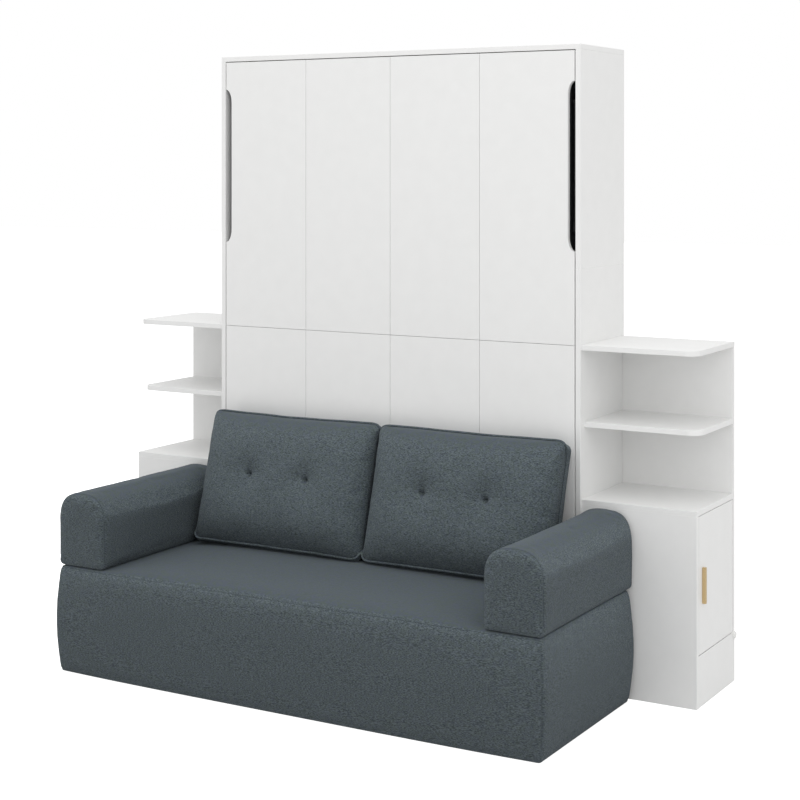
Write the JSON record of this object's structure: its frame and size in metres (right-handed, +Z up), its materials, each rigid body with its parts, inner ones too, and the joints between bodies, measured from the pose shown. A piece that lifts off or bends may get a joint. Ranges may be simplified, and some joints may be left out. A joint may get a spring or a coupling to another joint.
{
  "type": "wall bed with sofa",
  "caption": "Vertical wall bed whose panelled face folds down over a sofa with lift-off arms and cushions, between two open shelf units with side doors.",
  "frame": {"origin": "on the floor, under the middle of the whole object's box", "axes": "+X to the right seen from the front, +Y into the wall, +Z up"},
  "size_m": [2.302, 1.087, 2.156],
  "materials": {
    "white_board": "white melamine, satin",
    "black_steel": "black powder coat",
    "chrome_rod": "hard chrome, polished",
    "birch_slat": "clear lacquered birch plywood",
    "boucle_fabric": "slate blue boucle",
    "mattress_ticking": "off-white knitted ticking",
    "strap_webbing": "black polyester webbing",
    "brass_handle": "satin brass",
    "white_plastic": "moulded white plastic"
  },
  "bodies": {
    "carcass": {"cabinet_side_lower_left": "white_board", "cabinet_side_lower_right": "white_board", "cabinet_side_upper_left": "white_board", "cabinet_side_upper_right": "white_board", "cabinet_top": "white_board", "cabinet_back": "white_board", "kick_panel": "white_board", "pivot_bracket_left": "black_steel", "pivot_bracket_right": "black_steel", "strut_anchor_left": "black_steel", "strut_anchor_right": "black_steel", "base_front_left": "white_board", "base_inner_side_left": "white_board", "unit_back_left": "white_board", "kick_rail_left": "white_board", "base_floor_left": "white_board", "base_top_left": "white_board", "shelf_middle_left": "white_board", "shelf_top_left": "white_board", "door_pivot_left": "white_plastic", "base_front_right": "white_board", "base_inner_side_right": "white_board", "unit_back_right": "white_board", "kick_rail_right": "white_board", "base_floor_right": "white_board", "base_top_right": "white_board", "shelf_middle_right": "white_board", "shelf_top_right": "white_board", "door_pivot_right": "white_plastic", "seat_block": "boucle_fabric"},
    "bed": {"face_lower_1": "white_board", "face_lower_2": "white_board", "face_lower_3": "white_board", "face_lower_4": "white_board", "face_upper_1": "white_board", "face_upper_2": "white_board", "face_upper_3": "white_board", "face_upper_4": "white_board", "side_rail_left": "black_steel", "side_rail_right": "black_steel", "head_rail": "black_steel", "mid_rail": "black_steel", "foot_rail": "black_steel", "slat_set": "birch_slat", "mattress": "mattress_ticking", "mattress_strap": "strap_webbing"},
    "leg_left": {"support_leg_left": "black_steel"},
    "strut_tube_left": {"strut_cylinder_left": "black_steel"},
    "strut_piston_left": {"strut_rod_left": "chrome_rod"},
    "back_cushion_left": {"cushion_left": "boucle_fabric"},
    "sofa_arm_left": {"arm_left": "boucle_fabric"},
    "unit_door_left": {"door_left": "white_board", "door_handle_left": "brass_handle"},
    "leg_right": {"support_leg_right": "black_steel"},
    "strut_tube_right": {"strut_cylinder_right": "black_steel"},
    "strut_piston_right": {"strut_rod_right": "chrome_rod"},
    "back_cushion_right": {"cushion_right": "boucle_fabric"},
    "sofa_arm_right": {"arm_right": "boucle_fabric"},
    "unit_door_right": {"door_right": "white_board", "door_handle_right": "brass_handle"}
  },
  "joints": [
    {"name": "bed_fold", "type": "hinge", "parent": "carcass", "child": "bed", "pos_m": [0, 0.2285, 0.45], "axis": [1, 0, 0], "range_deg": [0, 90]},
    {"name": "leg_swing_left", "type": "hinge", "parent": "bed", "child": "leg_left", "pos_m": [-0.701, 0.2185, 1.965], "axis": [-1, 0, 0], "range_deg": [0, 90]},
    {"name": "strut_swing_left", "type": "hinge", "parent": "carcass", "child": "strut_tube_left", "pos_m": [-0.703, 0.3685, 1.15], "axis": [1, 0, 0], "range_deg": [0, 11.6]},
    {"name": "strut_slide_left", "type": "slide", "parent": "strut_tube_left", "child": "strut_piston_left", "axis": [0, 0.1104, 0.9939], "range_m": [0, 0.2435]},
    {"name": "cushion_off_left", "type": "slide", "parent": "carcass", "child": "back_cushion_left", "axis": [0, -1, 0], "range_m": [0, 2.05]},
    {"name": "arm_lift_left", "type": "slide", "parent": "carcass", "child": "sofa_arm_left", "axis": [0, 0, 1], "range_m": [0, 0.35]},
    {"name": "door_swing_left", "type": "hinge", "parent": "carcass", "child": "unit_door_left", "pos_m": [-1.13, 0.5162, 0.395], "axis": [0, 0, -1], "range_deg": [0, 88]},
    {"name": "leg_swing_right", "type": "hinge", "parent": "bed", "child": "leg_right", "pos_m": [0.701, 0.2185, 1.965], "axis": [-1, 0, 0], "range_deg": [0, 90]},
    {"name": "strut_swing_right", "type": "hinge", "parent": "carcass", "child": "strut_tube_right", "pos_m": [0.703, 0.3685, 1.15], "axis": [1, 0, 0], "range_deg": [0, 11.6]},
    {"name": "strut_slide_right", "type": "slide", "parent": "strut_tube_right", "child": "strut_piston_right", "axis": [0, 0.1104, 0.9939], "range_m": [0, 0.2435]},
    {"name": "cushion_off_right", "type": "slide", "parent": "carcass", "child": "back_cushion_right", "axis": [0, -1, 0], "range_m": [0, 2.05]},
    {"name": "arm_lift_right", "type": "slide", "parent": "carcass", "child": "sofa_arm_right", "axis": [0, 0, 1], "range_m": [0, 0.35]},
    {"name": "door_swing_right", "type": "hinge", "parent": "carcass", "child": "unit_door_right", "pos_m": [1.13, 0.5162, 0.395], "axis": [0, 0, 1], "range_deg": [0, 88]}
  ],
  "couplings": [
    {"joint": "leg_swing_left", "follows": "bed_fold", "ratio": 1},
    {"joint": "strut_swing_left", "follows": "bed_fold", "ratio": 0.12816},
    {"joint": "strut_slide_left", "follows": "bed_fold", "m_per_rad": 0.15458},
    {"joint": "cushion_off_left", "follows": "bed_fold", "m_per_rad": 1.3},
    {"joint": "leg_swing_right", "follows": "bed_fold", "ratio": 1},
    {"joint": "strut_swing_right", "follows": "bed_fold", "ratio": 0.12816},
    {"joint": "strut_slide_right", "follows": "bed_fold", "m_per_rad": 0.15458},
    {"joint": "cushion_off_right", "follows": "bed_fold", "m_per_rad": 1.3}
  ]
}
